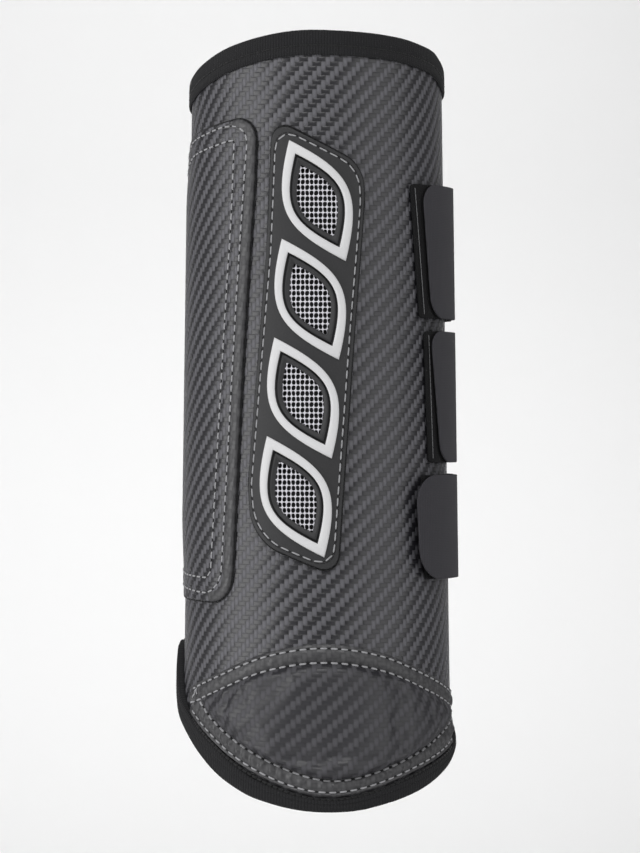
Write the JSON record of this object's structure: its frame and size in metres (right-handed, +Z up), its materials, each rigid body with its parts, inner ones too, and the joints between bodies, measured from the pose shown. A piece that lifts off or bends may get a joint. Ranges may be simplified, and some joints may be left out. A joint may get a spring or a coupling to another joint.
{
  "type": "tendon boot",
  "caption": "Hind-leg horse boot: padded carbon-look wrap with a vented front plate, a padded fetlock flap and hook-and-loop straps that close it at the back.",
  "frame": {"origin": "on the leg's axis, halfway up the boot", "axes": "+Z up the leg, -Y the front with the vents, +X the side with the strap ends"},
  "size_m": [0.1074, 0.1105, 0.291],
  "materials": {
    "shell": "carbon-look embossed sheet, satin",
    "foam": "closed-cell foam",
    "lining": "black knitted lining",
    "binding": "ribbed binding tape",
    "vent_rubber": "matte moulded rubber",
    "vent_rim": "pale moulded rim",
    "vent_mesh": "open knitted mesh",
    "elastic": "woven elastic",
    "webbing": "brushed strap",
    "hook": "hook tape",
    "loop": "loop tape"
  },
  "bodies": {
    "main_wrap": {"outer_shell": "shell", "foam_core": "foam", "mesh_lining": "lining", "top_binding": "binding", "bottom_binding": "binding", "near_edge_binding": "binding", "strike_panel": "shell", "vent_plate": "vent_rubber", "vent_mesh": "vent_mesh", "vent_rim_1": "vent_rim", "vent_rim_2": "vent_rim", "vent_rim_3": "vent_rim", "vent_rim_4": "vent_rim", "fetlock_cover": "shell", "fetlock_padding": "foam", "loop_patch_1": "loop", "loop_patch_2": "loop", "loop_patch_3": "loop"},
    "rear_wing": {"rear_shell": "shell", "rear_foam": "foam", "rear_lining": "lining", "rear_top_binding": "binding", "rear_bottom_binding": "binding", "far_edge_binding": "binding", "strap_anchor_1": "webbing", "strap_anchor_2": "webbing", "strap_anchor_3": "webbing"},
    "strap_1": {"elastic_strap_1": "elastic", "strap_hook_1": "hook"},
    "strap_cover_1": {"strap_cover_1": "webbing", "cover_hook_1": "hook"},
    "strap_2": {"elastic_strap_2": "elastic", "strap_hook_2": "hook"},
    "strap_cover_2": {"strap_cover_2": "webbing", "cover_hook_2": "hook"},
    "strap_3": {"elastic_strap_3": "elastic", "strap_hook_3": "hook"},
    "strap_cover_3": {"strap_cover_3": "webbing", "cover_hook_3": "hook"}
  },
  "joints": [
    {"name": "wing_flex", "type": "hinge", "parent": "main_wrap", "child": "rear_wing", "pos_m": [-0.03954, 0.0356, 0], "axis": [0, 0, 1], "range_deg": [0, 80], "stiffness_Nm_per_rad": 0.15},
    {"name": "strap_1_release", "type": "hinge", "parent": "rear_wing", "child": "strap_1", "pos_m": [0.02598, 0.04499, 0], "axis": [0, 0, 1], "range_deg": [0, 95]},
    {"name": "cover_1_release", "type": "hinge", "parent": "strap_1", "child": "strap_cover_1", "pos_m": [0.02972, 0.04406, 0], "axis": [0, 0, 1], "range_deg": [0, 80]},
    {"name": "strap_2_release", "type": "hinge", "parent": "rear_wing", "child": "strap_2", "pos_m": [0.02634, 0.04563, 0], "axis": [0, 0, 1], "range_deg": [0, 95]},
    {"name": "cover_2_release", "type": "hinge", "parent": "strap_2", "child": "strap_cover_2", "pos_m": [0.03013, 0.04467, 0], "axis": [0, 0, 1], "range_deg": [0, 80]},
    {"name": "strap_3_release", "type": "hinge", "parent": "rear_wing", "child": "strap_3", "pos_m": [0.02664, 0.04614, 0], "axis": [0, 0, 1], "range_deg": [0, 95]},
    {"name": "cover_3_release", "type": "hinge", "parent": "strap_3", "child": "strap_cover_3", "pos_m": [0.03046, 0.04516, 0], "axis": [0, 0, 1], "range_deg": [0, 80]}
  ]
}
